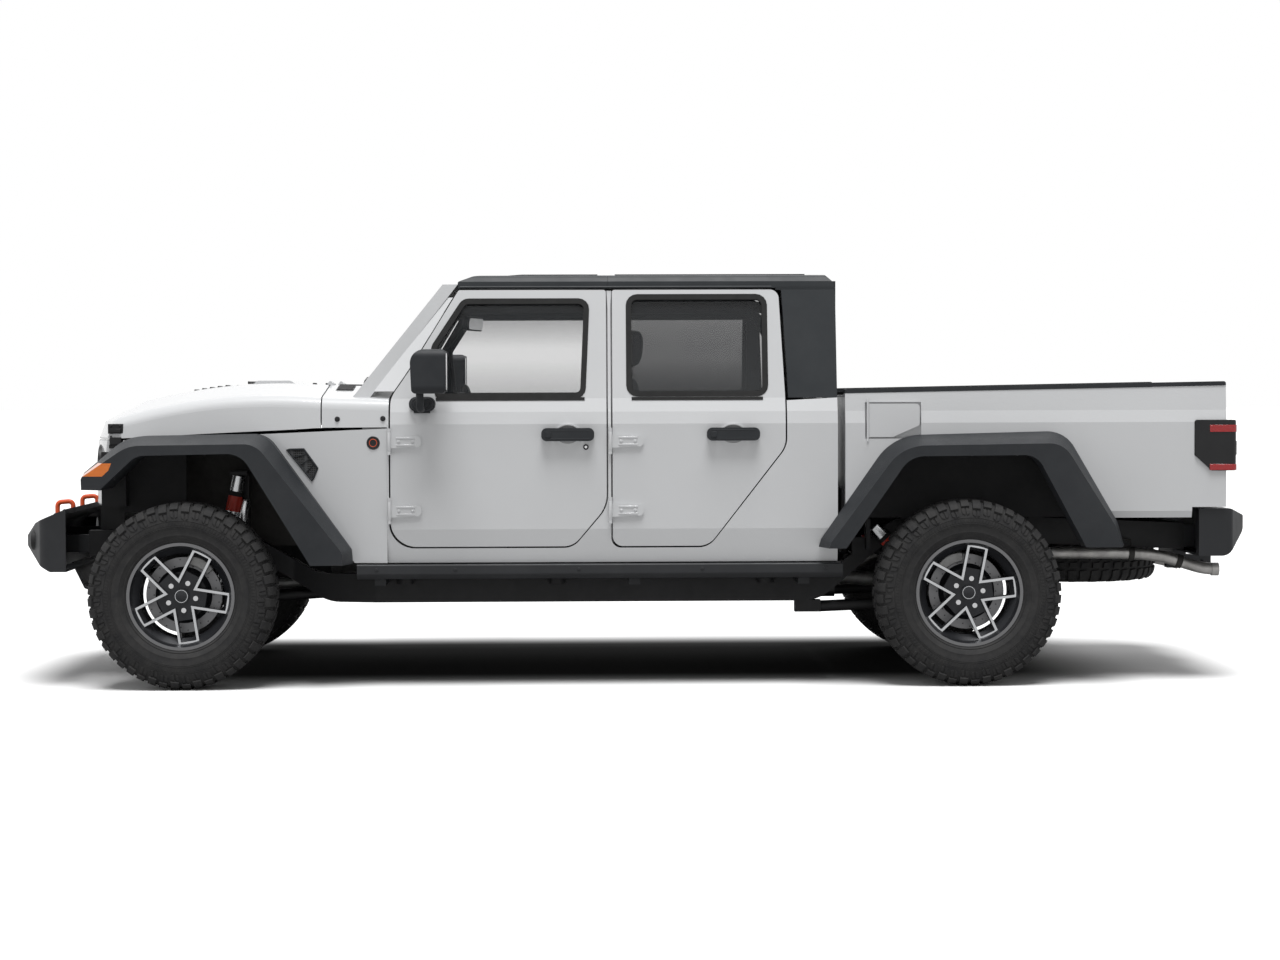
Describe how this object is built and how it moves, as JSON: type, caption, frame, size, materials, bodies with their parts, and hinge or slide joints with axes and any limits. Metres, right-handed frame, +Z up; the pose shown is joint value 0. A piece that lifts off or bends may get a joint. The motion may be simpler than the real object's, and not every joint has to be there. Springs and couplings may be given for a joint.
{
  "type": "lifted off-road crew-cab pickup",
  "caption": "White crew-cab off-road pickup on a lifted ladder frame, with a black removable hard top, open bed, flares, rock rails and all-terrain tyres.",
  "frame": {"origin": "on the ground below the middle of the overall box", "axes": "+X forward, +Y to the vehicle's left, +Z up"},
  "size_m": [5.54, 2.1, 1.8569],
  "materials": {
    "body_paint": "gloss",
    "black_plastic": "matt",
    "black_top": "satin",
    "black_steel": "satin",
    "cage_black": "satin",
    "hook_orange": "gloss",
    "tyre": "matt",
    "rim": "satin",
    "glass": "clear",
    "lamp_glass": "clear",
    "lamp_red": "gloss",
    "lamp_amber": "gloss",
    "cast": "rough",
    "cast_light": "cast",
    "shock_silver": "satin",
    "pipe": "satin",
    "seat_cloth": "woven",
    "wheel_leather": "grained"
  },
  "bodies": {
    "truck": {"bed_box": "body_paint", "bed_caps": "black_plastic", "cab_tub": "body_paint", "coil_springs": "black_steel", "dashboard": "black_plastic", "drive_train": "cast_light", "engine_block": "cast", "exhaust": "pipe", "fixed_glass": "glass", "front_axle": "black_steel", "front_bumper": "black_steel", "front_fenders": "body_paint", "front_flares": "black_plastic", "front_seats": "seat_cloth", "fuel_tank": "black_plastic", "grille_panel": "body_paint", "head_lamps": "lamp_glass", "ladder_frame": "black_steel", "rear_axle": "black_steel", "rear_bench": "seat_cloth", "rear_bumper": "black_steel", "rear_flares": "black_plastic", "rock_rails": "black_steel", "roll_cage": "cage_black", "roof_front_panels": "black_top", "roof_rear_shell": "black_top", "shock_absorbers": "shock_silver", "spare_wheel": "tyre", "suspension_links": "black_steel", "tail_lamps": "lamp_red", "tow_hooks": "hook_orange", "turn_signals": "lamp_amber", "windshield_frame": "body_paint"},
    "knuckle_left_body": {"knuckle_left": "cast"},
    "knuckle_right_body": {"knuckle_right": "cast"},
    "tie_rod_body": {"tie_rod": "black_steel"},
    "drag_link_body": {"drag_link": "black_steel"},
    "pitman_body": {"pitman_arm": "cast"},
    "steering_wheel_body": {"steering_wheel": "wheel_leather"},
    "hood_body": {"hood": "body_paint"},
    "tailgate_body": {"tailgate": "body_paint"},
    "fuel_door_body": {"fuel_door": "black_plastic"},
    "door_front_left_body": {"door_front_left": "body_paint", "glass_front_left": "glass", "mirror_left": "black_plastic"},
    "door_rear_left_body": {"door_rear_left": "body_paint", "glass_rear_left": "glass"},
    "wheel_front_left_body": {"tyre_front_left": "tyre", "rim_front_left": "rim"},
    "wheel_rear_left_body": {"tyre_rear_left": "tyre", "rim_rear_left": "rim"},
    "door_front_right_body": {"door_front_right": "body_paint", "glass_front_right": "glass", "mirror_right": "black_plastic"},
    "door_rear_right_body": {"door_rear_right": "body_paint", "glass_rear_right": "glass"},
    "wheel_front_right_body": {"tyre_front_right": "tyre", "rim_front_right": "rim"},
    "wheel_rear_right_body": {"tyre_rear_right": "tyre", "rim_rear_right": "rim"}
  },
  "joints": [
    {"name": "steer_left", "type": "hinge", "parent": "truck", "child": "knuckle_left_body", "pos_m": [2.005, 0.69, 0.414], "axis": [0, 0, 1], "range_deg": [-33, 33]},
    {"name": "steer_right", "type": "hinge", "parent": "truck", "child": "knuckle_right_body", "pos_m": [2.005, -0.69, 0.414], "axis": [0, 0, 1], "range_deg": [-33, 33]},
    {"name": "tie_rod_pivot", "type": "hinge", "parent": "knuckle_left_body", "child": "tie_rod_body", "pos_m": [2.155, 0.69, 0.372], "axis": [0, 0, 1], "range_deg": [-33, 33]},
    {"name": "pitman_turn", "type": "hinge", "parent": "truck", "child": "pitman_body", "pos_m": [2.335, 0.3, 0.48], "axis": [0, 0, 1], "range_deg": [-33, 33]},
    {"name": "drag_link_pivot", "type": "hinge", "parent": "pitman_body", "child": "drag_link_body", "pos_m": [2.485, 0.3, 0.452], "axis": [0, 0, 1], "range_deg": [-33, 33]},
    {"name": "steering_wheel_turn", "type": "hinge", "parent": "truck", "child": "steering_wheel_body", "pos_m": [0.725, 0.37, 1.14875], "axis": [-0.9701, 0, 0.2425], "range_deg": [-514.8, 514.8]},
    {"name": "roll_front_left", "type": "hinge", "parent": "knuckle_left_body", "child": "wheel_front_left_body", "pos_m": [2.005, 0.8, 0.414], "axis": [0, 1, 0], "continuous": true},
    {"name": "roll_rear_left", "type": "hinge", "parent": "truck", "child": "wheel_rear_left_body", "pos_m": [-1.482, 0.8, 0.414], "axis": [0, 1, 0], "continuous": true},
    {"name": "door_front_left_swing", "type": "hinge", "parent": "truck", "child": "door_front_left_body", "pos_m": [1.091, 0.818, 0.94], "axis": [0, 0, -1], "range_deg": [0, 65]},
    {"name": "door_rear_left_swing", "type": "hinge", "parent": "truck", "child": "door_rear_left_body", "pos_m": [0.108, 0.818, 0.94], "axis": [0, 0, -1], "range_deg": [0, 65]},
    {"name": "roll_front_right", "type": "hinge", "parent": "knuckle_right_body", "child": "wheel_front_right_body", "pos_m": [2.005, -0.8, 0.414], "axis": [0, 1, 0], "continuous": true},
    {"name": "roll_rear_right", "type": "hinge", "parent": "truck", "child": "wheel_rear_right_body", "pos_m": [-1.482, -0.8, 0.414], "axis": [0, 1, 0], "continuous": true},
    {"name": "door_front_right_swing", "type": "hinge", "parent": "truck", "child": "door_front_right_body", "pos_m": [1.091, -0.818, 0.94], "axis": [0, 0, 1], "range_deg": [0, 65]},
    {"name": "door_rear_right_swing", "type": "hinge", "parent": "truck", "child": "door_rear_right_body", "pos_m": [0.108, -0.818, 0.94], "axis": [0, 0, 1], "range_deg": [0, 65]},
    {"name": "hood_lift", "type": "hinge", "parent": "truck", "child": "hood_body", "pos_m": [1.397, 0, 1.354], "axis": [0, -1, 0], "range_deg": [0, 50]},
    {"name": "tailgate_drop", "type": "hinge", "parent": "truck", "child": "tailgate_body", "pos_m": [-2.63, 0, 0.84], "axis": [0, -1, 0], "range_deg": [0, 90]},
    {"name": "fuel_door_swing", "type": "hinge", "parent": "truck", "child": "fuel_door_body", "pos_m": [-1.041, 0.806, 1.18], "axis": [0, 0, -1], "range_deg": [0, 100]}
  ],
  "couplings": [
    {"joint": "steer_right", "follows": "steer_left", "ratio": 1},
    {"joint": "tie_rod_pivot", "follows": "steer_left", "ratio": -1},
    {"joint": "pitman_turn", "follows": "steer_left", "ratio": 1},
    {"joint": "drag_link_pivot", "follows": "steer_left", "ratio": -1},
    {"joint": "steering_wheel_turn", "follows": "steer_left", "ratio": 15.6}
  ]
}
